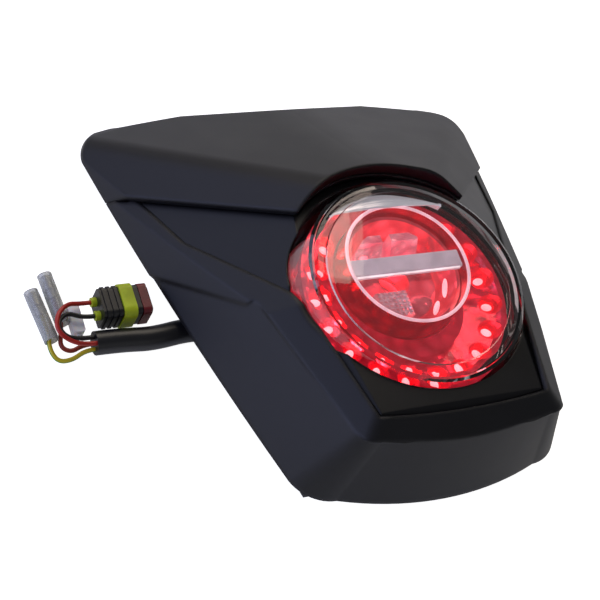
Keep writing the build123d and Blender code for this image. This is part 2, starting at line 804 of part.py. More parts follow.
export_step(cover_screws.part, "parts/cover_screws.step")

# --- back cover and cable entry ---------------------------------------------------------------------
sleeve_radius = sleeve_diameter / 2
grommet_inner = -cover_half_width + 5
grommet_outer = -cover_half_width - 10
inner_cable_end = -20.0
sleeve_start = grommet_outer + 2
cover_middle_y = (cover_front_y + cover_back_y) / 2
cover_length = cover_back_y - cover_front_y
with BuildPart() as back_cover:
    with BuildSketch(Plane.XY.offset(cover_bottom)):
        with Locations((0, cover_middle_y)):
            RectangleRounded(2 * cover_half_width, cover_length, 5)
    extrude(amount=plate_bottom - cover_bottom)
    with BuildSketch(Plane.XY.offset(cover_bottom + cover_wall)):
        with Locations((0, cover_middle_y)):
            RectangleRounded(2 * (cover_half_width - cover_wall), cover_length - 2 * cover_wall, 3)
    extrude(amount=plate_bottom, mode=Mode.SUBTRACT)
    for x, y in both_sides(cover_screw_points):
        add(disc(4.3, cover_bottom, plate_bottom, x, y))
    for x, y in both_sides(cover_screw_points):
        add(disc(screw_head_radius + 0.2, -1, cover_bottom + 0.2 + screw_head_height, x, y), mode=Mode.SUBTRACT)
        add(disc(screw_radius + screw_clearance, 1, plate_top, x, y), mode=Mode.SUBTRACT)
    with BuildSketch(Plane.YZ.offset(-cover_half_width - 1)):
        with Locations((cable_y, cable_height)):
            Circle(grommet_radius + screw_clearance)
        with Locations((cable_y, cable_height + 5)):
            Rectangle(2 * (grommet_radius + screw_clearance), 10)
    extrude(amount=grommet_inner + cover_half_width + 1, mode=Mode.SUBTRACT)
    with BuildSketch(Plane.YZ.offset(grommet_inner - 1)):
        with Locations((cable_y, cable_height)):
            Circle(sleeve_radius + shell_gap)
    extrude(amount=inner_cable_end - grommet_inner + 2, mode=Mode.SUBTRACT)
back_cover.part.label = "back_cover"
export_step(back_cover.part, "parts/back_cover.step")

with BuildPart() as cable_grommet:
    with BuildSketch(Plane.YZ.offset(grommet_outer)):
        with Locations((cable_y, cable_height)):
            Circle(grommet_radius)
            Circle(sleeve_radius + screw_clearance, mode=Mode.SUBTRACT)
    extrude(amount=grommet_inner - grommet_outer)
cable_grommet.part.label = "cable_grommet"
export_step(cable_grommet.part, "parts/cable_grommet.step")

with BuildPart() as inner_cable:
    with BuildSketch(Plane.YZ.offset(sleeve_start)):
        with Locations((cable_y, cable_height)):
            Circle(sleeve_radius)
    extrude(amount=inner_cable_end - sleeve_start)
inner_cable.part.label = "inner_cable"
export_step(inner_cable.part, "parts/inner_cable.step")

with BuildPart() as splice_block:
    with BuildSketch(Plane.XY.offset(cover_bottom + cover_wall)):
        with Locations((inner_cable_end + 8, cable_y)):
            RectangleRounded(16, 13, 1.5)
    extrude(amount=8.6)
splice_block.part.label = "splice_block"
export_step(splice_block.part, "parts/splice_block.step")


# --- free cable: sleeve and wires --------------------------------------------------------------------
def route_radii(points):
    """The largest arc at each corner that its two runs allow."""
    radii = []
    for before, here, after in zip(points, points[1:], points[2:]):
        run_in = Vector(*here) - Vector(*before)
        run_out = Vector(*after) - Vector(*here)
        turn = run_in.get_angle(run_out)
        radii.append(0.45 * min(run_in.length, run_out.length) / tan(radians(turn / 2)))
    return radii


def cord(points, radius, name):
    """A round cord along straight runs joined by tangent arcs."""
    radii = route_radii(points)
    with BuildPart() as tube:
        with BuildLine():
            path = FilletPolyline(*points, radius=radii)
        with BuildSketch(Plane(origin=path @ 0, z_dir=path % 0)):
            Circle(radius)
        sweep()
    section = pi * radius ** 2
    print(
        name, "length", round(path.length, 1), "radii", [round(value, 1) for value in radii],
        "volume ratio", round(tube.part.volume / (section * path.length), 4),
    )
    return tube.part


sleeve_route = [
    (-46, -7.0, 6.45), (-56, -7.0, 6.45), (-71, -4.4, 4.9), (-87, -6.6, 4.9), (-99, -5.4, 4.9), (-110, -5.4, 4.9),
]
with BuildPart() as cable_sleeve:
    add(cord(sleeve_route, sleeve_radius, "cable_sleeve"))
cable_sleeve.part.label = "cable_sleeve"
export_step(cable_sleeve.part, "parts/cable_sleeve.step")

wire_radius = wire_diameter / 2
brown_wire_route = [
    (-110, -4.4, 2.6), (-113.8, -4.4, 2.6), (-118.6, -6.2, 1.5), (-122.2, -3.4, 1.4), (-121.0, 1.6, 2.6),
    (-119.6, 6.6, 2.9), (-119.8, 11.6, 3.0), (-120.2, 16.5, 3.0),
]
with BuildPart() as brown_wire:
    add(cord(brown_wire_route, wire_radius, "brown_wire"))
brown_wire.part.label = "brown_wire"
export_step(brown_wire.part, "parts/brown_wire.step")
green_wire_route = [
    (-110, -7.2, 3.4), (-113.8, -7.2, 3.4), (-119.0, -9.6, 1.7), (-124.6, -9.4, 1.3), (-126.8, -4.4, 2.4),
    (-126.0, 0.8, 2.9), (-126.2, 5.4, 3.0), (-126.8, 9.9, 3.0),
]
with BuildPart() as green_wire:
    add(cord(green_wire_route, wire_radius, "green_wire"))
green_wire.part.label = "green_wire"
export_step(green_wire.part, "parts/green_wire.step")
black_wire_route = [
    (-110, -3.7, 6.8), (-115.0, -3.7, 6.8), (-121.4, -2.8, 7.8), (-123.4, 3.2, 8.2), (-118.4, 7.6, 7.8),
    (-112.6, 5.0, 7.0), (-107.6, 5.0, 7.0),
]
with BuildPart() as black_wire:
    add(cord(black_wire_route, wire_radius, "black_wire"))
black_wire.part.label = "black_wire"
export_step(black_wire.part, "parts/black_wire.step")
red_wire_route = [
    (-110, -6.6, 7.4), (-114.6, -6.6, 7.4), (-120.8, -5.2, 9.2), (-125.0, -0.6, 10.4), (-123.0, 6.0, 10.6),
    (-117.4, 10.6, 9.0), (-112.2, 11.0, 7.0), (-107.6, 11.0, 7.0),
]
with BuildPart() as red_wire:
    add(cord(red_wire_route, wire_radius, "red_wire"))
red_wire.part.label = "red_wire"
export_step(red_wire.part, "parts/red_wire.step")
white_lead_route = [(-110, -2.4, 4.2), (-111.8, -2.4, 4.2), (-113.9, -1.5, 2.3), (-113.9, 0.6, 2.3)]
with BuildPart() as white_lead:
    add(cord(white_lead_route, wire_radius, "white_lead"))
white_lead.part.label = "white_lead"
export_step(white_lead.part, "parts/white_lead.step")


def wire_end(route):
    """The plane across the last point of a wire, facing along it."""
    return Plane(origin=route[-1], z_dir=Vector(*route[-1]) - Vector(*route[-2]))


with BuildPart() as terminal_sleeves:
    for route in (brown_wire_route, green_wire_route):
        with BuildSketch(wire_end(route).offset(-terminal_depth)):
            Circle(terminal_sleeve_radius)
            Circle(terminal_sleeve_radius - terminal_sleeve_wall, mode=Mode.SUBTRACT)
        extrude(amount=terminal_sleeve_length)
terminal_sleeves.part.label = "terminal_sleeves"
export_step(terminal_sleeves.part, "parts/terminal_sleeves.step")
with BuildPart() as bullet_terminals:
    for route in (brown_wire_route, green_wire_route):
        with BuildSketch(wire_end(route)):
            Circle(terminal_radius - 0.5)
        extrude(amount=4)
        with BuildSketch(wire_end(route).offset(4)):
            Circle(terminal_radius)
        extrude(amount=terminal_sleeve_length - terminal_depth - 4.8, taper=4)
bullet_terminals.part.label = "bullet_terminals"
export_step(bullet_terminals.part, "parts/bullet_terminals.step")

with BuildPart() as white_connector:
    with BuildSketch(Plane.XY):
        with Locations((-113.9, 6.5)):
            RectangleRounded(4.6, 11.8, 0.8)
    extrude(amount=4.6)
    with BuildSketch(Plane.XZ.offset(-12.4)):
        with Locations((-113.9, 2.3)):
            Rectangle(2.6, 2.6)
    extrude(amount=6, mode=Mode.SUBTRACT)
white_connector.part.label = "white_connector"
export_step(white_connector.part, "parts/white_connector.step")

# --- sealed connector ---------------------------------------------------------------------------------
connector_y = 8.0
connector_height = 7.0
connector_rear = -105.6
connector_shoulder = -90.0
connector_front = -85.4
lock_travel = 2.0
wire_entry_spread = 3.0


def connector_block(start_x, end_x, width, height, corner):
    """A rounded bar along the connector."""
    with BuildPart() as block:
        with BuildSketch(Plane.YZ.offset(start_x)):
            with Locations((connector_y, connector_height)):
                RectangleRounded(width, height, corner)
        extrude(amount=end_x - start_x)
    return block.part


with BuildPart() as connector_body:
    add(connector_block(connector_rear, connector_shoulder, 12.6, 11.6, 2.0))
    add(connector_block(connector_shoulder, connector_front, 10.6, 8.8, 1.2))
    for rib in range(3):
        rib_x = connector_rear + 1.2 + 2.4 * rib
        add(connector_block(rib_x, rib_x + 1.1, 13.6, 12.6, 2.4))
    with BuildSketch(Plane.YZ.offset(connector_front)):
        with Locations((connector_y - 2.5, connector_height), (connector_y + 2.5, connector_height)):
            Rectangle(3.0, 4.4)
    extrude(amount=-8, mode=Mode.SUBTRACT)
connector_body.part.label = "connector_body"
export_step(connector_body.part, "parts/connector_body.step")

with BuildPart() as connector_contacts:
    with BuildSketch(Plane.YZ.offset(connector_front - 8)):
        with Locations((connector_y - 2.5, connector_height), (connector_y + 2.5, connector_height)):
            Rectangle(1.5, 3.0)
    extrude(amount=7)
connector_contacts.part.label = "connector_contacts"
export_step(connector_contacts.part, "parts/connector_contacts.step")

seal_rear = -97.6
seal_front = -92.4
with BuildPart() as connector_seal:
    add(connector_block(seal_rear, seal_front, 14.6, 13.8, 3.4))
    add(connector_block(seal_rear - 1, seal_front + 1, 12.6, 11.6, 2.0), mode=Mode.SUBTRACT)
connector_seal.part.label = "connector_seal"
export_step(connector_seal.part, "parts/connector_seal.step")

with BuildPart() as lock_plate:
    add(connector_block(connector_shoulder + 0.3, connector_front - lock_travel + 1.2, 13.2, 11.6, 2.0))
    add(connector_block(connector_shoulder - 1, connector_front + 1, 10.8, 9.0, 1.3), mode=Mode.SUBTRACT)
lock_plate.part.label = "lock_plate"
export_step(lock_plate.part, "parts/lock_plate.step")

with BuildPart() as wire_seals:
    with BuildSketch(Plane.YZ.offset(connector_rear - 2)):
        with Locations(
            (connector_y - wire_entry_spread, connector_height), (connector_y + wire_entry_spread, connector_height)
        ):
            Circle(1.9)
    extrude(amount=2)
wire_seals.part.label = "wire_seals"
export_step(wire_seals.part, "parts/wire_seals.step")
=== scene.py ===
# %% [markdown]
# # A scooter tail light in Blender
# This lesson gives a tail light its looks. The shapes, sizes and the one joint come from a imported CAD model, which
# is loaded here as a fixed frame. What is left for Blender is what the eye judges: fine moulded black plastic, a
# clear lens over lit red reflectors, and a bunch of soft wires. Everything is in metres: +Z is the lens axis and
# +Y points to the hood.

# %% Load the frame
from math import cos, pi, radians, sin

import bmesh
import bpy
from mathutils import Matrix, Vector


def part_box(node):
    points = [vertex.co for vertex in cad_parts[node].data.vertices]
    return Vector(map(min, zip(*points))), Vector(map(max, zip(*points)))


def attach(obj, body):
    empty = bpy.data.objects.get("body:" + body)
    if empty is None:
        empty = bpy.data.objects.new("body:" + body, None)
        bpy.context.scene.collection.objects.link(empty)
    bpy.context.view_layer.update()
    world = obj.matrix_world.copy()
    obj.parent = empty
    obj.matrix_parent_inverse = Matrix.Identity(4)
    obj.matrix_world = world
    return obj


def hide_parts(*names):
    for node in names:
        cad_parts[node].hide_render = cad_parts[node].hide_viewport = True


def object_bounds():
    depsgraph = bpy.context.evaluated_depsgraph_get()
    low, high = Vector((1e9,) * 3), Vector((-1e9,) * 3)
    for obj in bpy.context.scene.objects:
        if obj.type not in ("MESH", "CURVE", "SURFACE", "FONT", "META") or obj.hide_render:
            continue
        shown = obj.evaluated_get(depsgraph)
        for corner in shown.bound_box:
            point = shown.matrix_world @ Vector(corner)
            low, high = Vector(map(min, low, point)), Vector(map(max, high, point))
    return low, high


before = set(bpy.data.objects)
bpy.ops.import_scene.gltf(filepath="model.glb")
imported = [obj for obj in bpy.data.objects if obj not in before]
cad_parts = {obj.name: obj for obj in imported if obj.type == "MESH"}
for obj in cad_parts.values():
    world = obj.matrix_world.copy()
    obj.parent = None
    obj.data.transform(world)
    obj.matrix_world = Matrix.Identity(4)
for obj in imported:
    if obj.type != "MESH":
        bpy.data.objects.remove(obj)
cad_low, cad_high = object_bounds()
scene = bpy.context.scene
MM = 0.001
print("nodes", len(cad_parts), "box in mm", [round(v / MM, 1) for v in cad_high - cad_low])

# %% [markdown]
# ## Camera
# A product photographer stands well back and uses a long lens, so that the lamp's sides stay nearly parallel. The
# camera looks down at the lamp from the front left, and is rolled a little, which a plain look-at aim can't say. Its
# three axes are given instead: right, up and back.

# %% Camera
CAMERA_PLACE = Vector((-0.3037, -0.25085, 0.50257))
CAMERA_RIGHT = Vector((0.88487, -0.31062, 0.34716))
CAMERA_UP = Vector((0.10636, 0.86027, 0.49861))
CAMERA_BACK = Vector((-0.45354, -0.40428, 0.79427))
LENS_MM = 92.53
SENSOR_MM = 36.0

camera_data = bpy.data.cameras.new("camera")
camera_data.lens = LENS_MM
camera_data.sensor_width = SENSOR_MM
camera = bpy.data.objects.new("camera", camera_data)
turn = Matrix((CAMERA_RIGHT, CAMERA_UP, CAMERA_BACK)).transposed()
camera.matrix_world = Matrix.Translation(CAMERA_PLACE) @ turn.to_4x4()
scene.collection.objects.link(camera)
scene.camera = camera
print("camera stands", round(CAMERA_PLACE.length, 3), "m away")

# %% [markdown]
# ## Colours and nodes
# Colours are written as sRGB hex values, as a paint program shows them, and Blender wants them linear. One function
# does that. One more adds a node with its settings and links, and every material below is built with it.

# %% Colours and nodes
def colour(hex_value):
    """Linear RGBA from an sRGB hex value such as 1c1c20."""
    channels = [int(hex_value[i:i + 2], 16) / 255 for i in (0, 2, 4)]
    linear = [c / 12.92 if c <= 0.04045 else ((c + 0.055) / 1.055) ** 2.4 for c in channels]
    return (*linear, 1.0)


def node(tree, kind, settings=None, links=None):
    """Adds a node, sets its properties and sockets, and links outputs of other nodes to its inputs."""
    made = tree.nodes.new(kind)
    for name, value in (settings or {}).items():
        if isinstance(name, int) or name in made.inputs:
            made.inputs[name].default_value = value
        else:
            setattr(made, name, value)
    for name, output in (links or {}).items():
        tree.links.new(output, made.inputs[name])
    return made


def shader(name, **settings):
    """A new material, with its node tree and its Principled shader with these sockets set."""
    material = bpy.data.materials.new(name)
    material.use_nodes = True
    tree = material.node_tree
    principled = tree.nodes["Principled BSDF"]
    for socket, value in settings.items():
        principled.inputs[socket.replace("_", " ")].default_value = value
    return material, tree, principled


def per_metre(size_mm):
    """Texture scale that makes a pattern's features about this size."""
    return 1.0 / (size_mm * MM)


print("black plastic in linear light", [round(c, 4) for c in colour("1c1c20")[:3]])

# %% [markdown]
# ## Mottled surfaces
# Nothing that comes out of a mould is one flat colour. Two scales of noise do most of the work: a slow one shifts
# the colour and the roughness a little over centimetres, as handling and flow lines do, and a fine one raises the
# grain of the mould. The grain's real size goes in as millimetres. Spark-eroded grain is about 0.1 mm, too fine to
# show here, so it is drawn a few times coarser.

# %% Mottled surfaces
def mottled(name, dark, light, rough, grain_mm, depth_mm, patch_mm=18.0, round_mm=0.0, **settings):
    """A surface with slow patches of colour and roughness, a fine raised grain and, if asked, rounded edges."""
    material, tree, principled = shader(name, **settings)
    place = node(tree, "ShaderNodeTexCoord")
    patches = node(tree, "ShaderNodeTexNoise", {"Scale": per_metre(patch_mm), "Detail": 3.0},
                   {"Vector": place.outputs["Object"]})
    ramp = node(tree, "ShaderNodeValToRGB", links={"Fac": patches.outputs["Fac"]})
    ramp.color_ramp.elements[0].position = 0.3
    ramp.color_ramp.elements[0].color = colour(dark)
    ramp.color_ramp.elements[1].position = 0.7
    ramp.color_ramp.elements[1].color = colour(light)
    tree.links.new(ramp.outputs["Color"], principled.inputs["Base Color"])
    smear = node(tree, "ShaderNodeMapRange", {"To Min": rough[0], "To Max": rough[1]},
                 {"Value": patches.outputs["Fac"]})
    tree.links.new(smear.outputs["Result"], principled.inputs["Roughness"])
    grain = node(tree, "ShaderNodeTexNoise", {"Scale": per_metre(grain_mm), "Detail": 2.0},
                 {"Vector": place.outputs["Object"]})
    bump = node(tree, "ShaderNodeBump", {"Strength": 0.6, "Distance": depth_mm * MM},
                {"Height": grain.outputs["Fac"]})
    if round_mm:
        soft = node(tree, "ShaderNodeBevel", {"samples": 6, "Radius": round_mm * MM})
        tree.links.new(soft.outputs["Normal"], bump.inputs["Normal"])
    tree.links.new(bump.outputs["Normal"], principled.inputs["Normal"])
    return material


# %% [markdown]
# ## Black ABS
# The hood, the frame and the inset panels are injection-moulded ABS from a finely eroded mould. That gives a satin
# black: dark, slightly blue, with broad soft highlights and no sharp reflections. The inset panels come from a
# smoother mould and look a shade deeper. Moulded edges are never sharp, so the shading rounds them by two millimetres.

# %% Black ABS
abs_shell = mottled("satin_black_abs", "0b0b0f", "0f0f14", (0.40, 0.48), 0.5, 0.010, round_mm=2.2, IOR=1.53,
                    Specular_IOR_Level=0.38)
abs_panel = mottled("smooth_black_abs", "08080b", "0b0b0f", (0.34, 0.42), 0.5, 0.008, round_mm=0.8, IOR=1.53,
                    Specular_IOR_Level=0.32)
pp_housing = mottled("black_polypropylene", "141415", "1a1a1b", (0.50, 0.62), 0.8, 0.03, IOR=1.49)
print("black plastics", [m.name for m in (abs_shell, abs_panel, pp_housing)])

# %% [markdown]
# ## Clear polycarbonate lens
# The lens is polished polycarbonate, 2.2 mm thick, with an index of 1.58. It is modelled as a real wall, so the edge
# gathers light and the step in its face shows as a ring. A very faint flow swirl keeps the reflections from being
# perfect.

# %% Clear polycarbonate lens
def clear_polycarbonate():
    material, tree, principled = shader(
        "clear_polycarbonate", Roughness=0.02, IOR=1.58, Transmission_Weight=1.0, Base_Color=colour("fdf7f8"),
    )
    place = node(tree, "ShaderNodeTexCoord")
    swirl = node(tree, "ShaderNodeTexNoise", {"Scale": per_metre(30.0), "Detail": 1.0},
                 {"Vector": place.outputs["Object"]})
    bump = node(tree, "ShaderNodeBump", {"Strength": 0.15, "Distance": 0.05 * MM}, {"Height": swirl.outputs["Fac"]})
    tree.links.new(bump.outputs["Normal"], principled.inputs["Normal"])
    return material


lens_clear = clear_polycarbonate()
print("lens material", lens_clear.name)

# %% [markdown]
# ## Vacuum-metallised plastic
# Reflectors are plastic with a film of aluminium, and a red lacquer over it for the tail lamp's bowls. Under the film
# the plastic has pillow facets, which break each light into several. Cells of about 3 mm, raised by a tenth of a
# millimetre, stand for them. Each film also glows faintly in the facets' colours: a painted glow that stands for the
# LED light it throws back, on top of the light that really bounces off it.

# %% Vacuum-metallised plastic
def metallised(name, tint, deep, rough, facet_mm, depth_mm, glow=0.0):
    """Aluminium film on faceted plastic, under a tinted lacquer, with a painted glow for the light that it throws
    back.
    """
    material, tree, principled = shader(name, Metallic=1.0, Coat_Weight=0.6, Coat_Roughness=0.04)
    place = node(tree, "ShaderNodeTexCoord")
    facets = node(tree, "ShaderNodeTexVoronoi", {"Scale": per_metre(facet_mm), "feature": "SMOOTH_F1"},
                  {"Vector": place.outputs["Object"]})
    ramp = node(tree, "ShaderNodeValToRGB", links={"Fac": facets.outputs["Distance"]})
    ramp.color_ramp.elements[0].color = colour(tint)
    ramp.color_ramp.elements[1].color = colour(deep)
    tree.links.new(ramp.outputs["Color"], principled.inputs["Base Color"])
    haze = node(tree, "ShaderNodeMapRange", {"To Min": rough[0], "To Max": rough[1]},
                {"Value": facets.outputs["Distance"]})
    tree.links.new(haze.outputs["Result"], principled.inputs["Roughness"])
    bump = node(tree, "ShaderNodeBump", {"Strength": 1.0, "Distance": depth_mm * MM},
                {"Height": facets.outputs["Distance"]})
    tree.links.new(bump.outputs["Normal"], principled.inputs["Normal"])
    tree.links.new(ramp.outputs["Color"], principled.inputs["Emission Color"])
    principled.inputs["Emission Strength"].default_value = glow
    return material


# Each film's last number is its painted glow: emission that stands for reflected LED light.
red_reflector = metallised("red_lacquered_aluminium_film", "f4304a", "a00c1c", (0.12, 0.28), 4.0, 0.5, 0.42)
red_bowl = metallised("red_smooth_film", "f8707c", "a01426", (0.08, 0.16), 5.0, 0.35, 0.40)
red_wall = metallised("deep_red_film", "c81c30", "5a0814", (0.14, 0.30), 6.0, 0.3, 0.25)
pink_facets = metallised("pink_film_painted_glow", "f6a0ac", "d84860", (0.10, 0.22), 4.0, 0.3, 0.60)
chrome_film = metallised("aluminium_film_painted_glow", "cfd1d8", "93959e", (0.16, 0.28), 16.0, 0.06, 0.62)
print("films", [m.name for m in (red_reflector, red_bowl, red_wall, pink_facets, chrome_film)])

# %% [markdown]
# ## Lit parts and painted light
# A lit LED is brighter than the picture can show, so its middle burns out to pink white, and its light, bounced by
# red film, colours the bowls, together with the painted glow that the films carry. The hoop on the projector's rim,
# the bar across it and the bead along the bar's lower edge are painted light: the hoop and the bead are painted
# highlights and the bar has a painted glow, and all of them still take light from outside. The domes are painted
# reflections of the LEDs.

# %% Lit parts and painted light
def lit(name, base, glow, strength, rough, **settings):
    """A plastic that glows, a little unevenly: a lit LED, or painted light on a piece that is no lamp."""
    material, tree, principled = shader(name, Roughness=rough, Base_Color=colour(base), IOR=1.49, **settings)
    place = node(tree, "ShaderNodeTexCoord")
    streaks = node(tree, "ShaderNodeTexNoise", {"Scale": per_metre(5.0), "Detail": 2.0},
                   {"Vector": place.outputs["Object"]})
    ramp = node(tree, "ShaderNodeValToRGB", links={"Fac": streaks.outputs["Fac"]})
    ramp.color_ramp.elements[0].position = 0.35
    ramp.color_ramp.elements[0].color = tuple(0.7 * c for c in colour(glow)[:3]) + (1.0,)
    ramp.color_ramp.elements[1].position = 0.65
    ramp.color_ramp.elements[1].color = colour(glow)
    tree.links.new(ramp.outputs["Color"], principled.inputs["Emission Color"])
    principled.inputs["Emission Strength"].default_value = strength
    return material


led_glow = lit("lit_led", "ffd0d0", "ff3a4c", 34.0, 0.3)
centre_glow = lit("lit_centre_led", "ffd0d0", "ff5060", 40.0, 0.3)
# The rim's hoop glows: a painted highlight where the projector wall's edge catches light.
rim_painted_highlight = lit("projector_rim_painted_highlight", "ffe4ea", "ffc4d0", 0.85, 0.18)
# The light bar glows faintly: a painted glow on a silver bar that is no lamp.
bar_silver_painted_glow = lit("light_bar_painted_glow", "d2ced6", "c8b4c0", 0.62, 0.20)
# The bead along the bar's lower edge glows: a painted highlight.
bar_edge_painted_highlight = lit("bar_lower_edge_painted_highlight", "ffffff", "fff0f4", 1.1, 0.2)
# The domes glow: painted reflections of the LEDs in their cups and in the projector's bowl.
painted_reflection_glow = lit("painted_led_reflection", "ffd8dc", "ffa0a8", 1.7, 0.3)
print("lit parts", [m.name for m in (led_glow, centre_glow, rim_painted_highlight, bar_silver_painted_glow, bar_edge_painted_highlight, painted_reflection_glow)])

# %% [markdown]
# ## Metals
# Pressed aluminium, brass and zinc-plated steel are plain metals: their colour is the metal's own, and what tells
# them apart is the finish. A noise stretched along one axis stands for the drawing marks of the sheet and the wire.

# %% Metals
def worked_metal(name, dark, light, rough, mark_mm, stretch=(1.0, 8.0, 1.0)):
    """Metal with fine marks drawn out along one axis."""
    material, tree, principled = shader(name, Metallic=1.0)
    place = node(tree, "ShaderNodeTexCoord")
    drawn = node(tree, "ShaderNodeMapping", {"Scale": stretch}, {"Vector": place.outputs["Object"]})
    marks = node(tree, "ShaderNodeTexNoise", {"Scale": per_metre(mark_mm), "Detail": 4.0},
                 {"Vector": drawn.outputs["Vector"]})
    ramp = node(tree, "ShaderNodeValToRGB", links={"Fac": marks.outputs["Fac"]})
    ramp.color_ramp.elements[0].color = colour(dark)
    ramp.color_ramp.elements[1].color = colour(light)
    tree.links.new(ramp.outputs["Color"], principled.inputs["Base Color"])
    wear = node(tree, "ShaderNodeMapRange", {"To Min": rough[0], "To Max": rough[1]},
                {"Value": marks.outputs["Fac"]})
    tree.links.new(wear.outputs["Result"], principled.inputs["Roughness"])
    return material


aluminium = worked_metal("pressed_aluminium", "b4b6b9", "d6d8da", (0.28, 0.45), 3.0)
brass = worked_metal("turned_brass", "b08a45", "d8b670", (0.22, 0.4), 1.5)
zinc_steel = worked_metal("zinc_plated_steel", "9a9ca2", "c8cacd", (0.25, 0.42), 2.0)
tin_brass = worked_metal("tinned_brass", "a8a18e", "d2ccba", (0.25, 0.4), 1.2)
print("metals", [m.name for m in (aluminium, brass, zinc_steel, tin_brass)])

# %% [markdown]
# ## Rubber, PVC and small mouldings
# Rubber is rough and takes almost no highlight. The cable's PVC jacket and the wires' insulation are smoother, with a
# long soft gleam. Nylon plugs are cloudy, because some light goes into them, which a little subsurface gives.

# %% Rubber, PVC and small mouldings
rubber = mottled("black_rubber", "0f0f10", "171717", (0.62, 0.75), 0.7, 0.03, IOR=1.52)
pvc_jacket = mottled("black_pvc_jacket", "111114", "18181c", (0.30, 0.40), 1.2, 0.02, IOR=1.53)
wire_brown = mottled("red_brown_insulation", "7a2416", "9c3422", (0.28, 0.36), 0.8, 0.01, 6.0, IOR=1.5)
wire_black = mottled("black_insulation", "0e0e10", "161618", (0.28, 0.36), 0.8, 0.01, 6.0, IOR=1.5)
wire_red = mottled("red_insulation", "a51f18", "c22c22", (0.28, 0.36), 0.8, 0.01, 6.0, IOR=1.5)
wire_white = mottled("white_insulation", "dcdad4", "efede8", (0.3, 0.4), 0.8, 0.01, 6.0, IOR=1.5)
nylon_white = mottled("white_nylon", "e6e6e2", "f6f6f4", (0.35, 0.48), 0.7, 0.01, 8.0,
                      IOR=1.53, Subsurface_Weight=0.2, Subsurface_Scale=0.002)
nylon_black = mottled("black_nylon", "0d0d0f", "151517", (0.34, 0.46), 0.7, 0.02, 8.0, IOR=1.53)
seal_green = mottled("yellow_green_silicone", "a9b81c", "c6d62c", (0.4, 0.5), 0.8, 0.015, 6.0,
                     IOR=1.43, Subsurface_Weight=0.15, Subsurface_Scale=0.002)
lock_red = mottled("dark_red_nylon", "5c0c14", "7c1620", (0.34, 0.44), 0.7, 0.015, 6.0, IOR=1.53)
board_white = mottled("white_solder_mask", "dcdedc", "eceeec", (0.3, 0.4), 1.0, 0.01, 9.0, IOR=1.5)
print("small mouldings", nylon_white.name, seal_green.name, lock_red.name)

# %% [markdown]
# The earth wire is yellow with a green stripe along it. The stripe is drawn from the wire's own length and girth, its
# UV coordinates, so it follows every bend.

# %% Striped wire
def striped_insulation():
    material, tree, principled = shader("yellow_green_insulation", Roughness=0.32, IOR=1.5)
    place = node(tree, "ShaderNodeTexCoord")
    split = node(tree, "ShaderNodeSeparateXYZ", links={"Vector": place.outputs["UV"]})
    stripe = node(tree, "ShaderNodeMath", {"operation": "GREATER_THAN", 1: 0.62}, {0: split.outputs["Y"]})
    patches = node(tree, "ShaderNodeTexNoise", {"Scale": per_metre(3.0)}, {"Vector": place.outputs["Object"]})
    yellow = node(tree, "ShaderNodeMix", {"data_type": "RGBA", 6: colour("c8b41e"), 7: colour("ddca2e")},
                  {0: patches.outputs["Fac"]})
    both = node(tree, "ShaderNodeMix", {"data_type": "RGBA", 7: colour("3f8a20")},
                {0: stripe.outputs["Value"], 6: yellow.outputs[2]})
    tree.links.new(both.outputs[2], principled.inputs["Base Color"])
    return material


wire_green = striped_insulation()
print("striped wire", wire_green.name)

# %% [markdown]
# The bullet terminals' sleeves are soft clear vinyl. It is cloudy and slightly grey, so it is a rough, weak
# transmission rather than glass.

# %% Clear vinyl
def clear_vinyl():
    material, tree, principled = shader(
        "clear_vinyl", Roughness=0.22, IOR=1.35, Transmission_Weight=0.72, Base_Color=colour("dfe0dc"),
    )
    place = node(tree, "ShaderNodeTexCoord")
    ripple = node(tree, "ShaderNodeTexNoise", {"Scale": per_metre(2.5), "Detail": 2.0},
                  {"Vector": place.outputs["Object"]})
    bump = node(tree, "ShaderNodeBump", {"Strength": 0.5, "Distance": 0.1 * MM}, {"Height": ripple.outputs["Fac"]})
    tree.links.new(bump.outputs["Normal"], principled.inputs["Normal"])
    return material


vinyl = clear_vinyl()
print("vinyl", vinyl.name)

# %% [markdown]
# ## Cable and wires
# A cord is a smooth NURBS curve through the same points as the CAD route, given a round section. Each is given
# its real diameter. The sleeve leaves its grommet inside the shell; the wires leave the sleeve's end.

# %% Cable and wires
SLEEVE_DIAMETER = 9.4 * MM
WIRE_DIAMETER = 1.8 * MM


def cord(name, route_mm, diameter, material, cad_node):
    """A round cord along a NURBS spline, which stands for its CAD tube and hides it."""
    curve = bpy.data.curves.new(name, "CURVE")
    curve.dimensions = "3D"
    curve.bevel_depth = diameter / 2
    curve.bevel_resolution = 6
    curve.resolution_u = 10
    curve.use_fill_caps = True
    spline = curve.splines.new("NURBS")
    spline.points.add(len(route_mm) - 1)
    for point, place in zip(spline.points, route_mm):
        point.co = (*(v * MM for v in place), 1.0)
    spline.order_u = 3
    spline.use_endpoint_u = True
    curve.materials.append(material)
    piece = bpy.data.objects.new(name, curve)
    scene.collection.objects.link(piece)
    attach(piece, "lamp")
    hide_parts(cad_node)
    return piece


